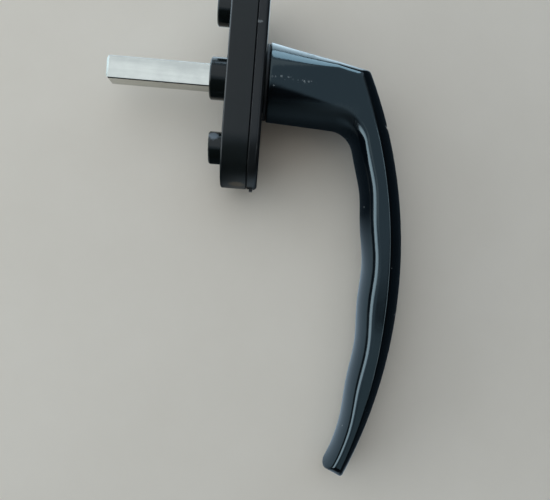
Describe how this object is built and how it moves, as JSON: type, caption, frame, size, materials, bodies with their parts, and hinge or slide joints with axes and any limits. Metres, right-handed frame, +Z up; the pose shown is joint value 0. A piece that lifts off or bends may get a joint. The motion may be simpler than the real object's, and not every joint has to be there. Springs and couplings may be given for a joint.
{
  "type": "window handle",
  "caption": "Black window handle: curved lever with finger waves on an oblong screw plate, a cover that turns to bare the screw holes, and a square spindle for the window's gear.",
  "frame": {"origin": "on the spindle's axis at the back face of the base plate, midway between the screw holes", "axes": "+Y along the spindle into the window, +Z up from the grip's hanging end to the neck, user at -Y"},
  "size_m": [0.03, 0.0946, 0.153],
  "materials": {
    "lacquer": "gloss black lacquer on cast aluminium",
    "moulding": "satin black moulded plastic",
    "cover_moulding": "satin black moulded plastic",
    "bush_plastic": "matt black plastic",
    "zinc_steel": "satin zinc-plated steel",
    "steel": "plain stamped steel",
    "spring_steel": "blued spring steel"
  },
  "bodies": {
    "base": {"base_plate": "moulding", "retaining_plate": "steel", "retaining_screws": "zinc_steel", "detent_spring_left": "spring_steel", "detent_spring_right": "spring_steel"},
    "lever": {"lever": "lacquer", "spindle": "zinc_steel", "spindle_pin": "steel", "guide_bush": "bush_plastic", "detent_cam": "steel", "cam_washer": "steel", "circlip": "spring_steel"},
    "cover": {"cover_plate": "cover_moulding"}
  },
  "joints": [
    {"name": "lever_turn", "type": "hinge", "parent": "base", "child": "lever", "pos_m": [0, 0, 0], "axis": [0, 1, 0], "continuous": true, "deforming": ["detent_spring_left", "detent_spring_right"]},
    {"name": "cover_turn", "type": "hinge", "parent": "base", "child": "cover", "pos_m": [0, 0, 0], "axis": [0, 1, 0], "continuous": true}
  ]
}
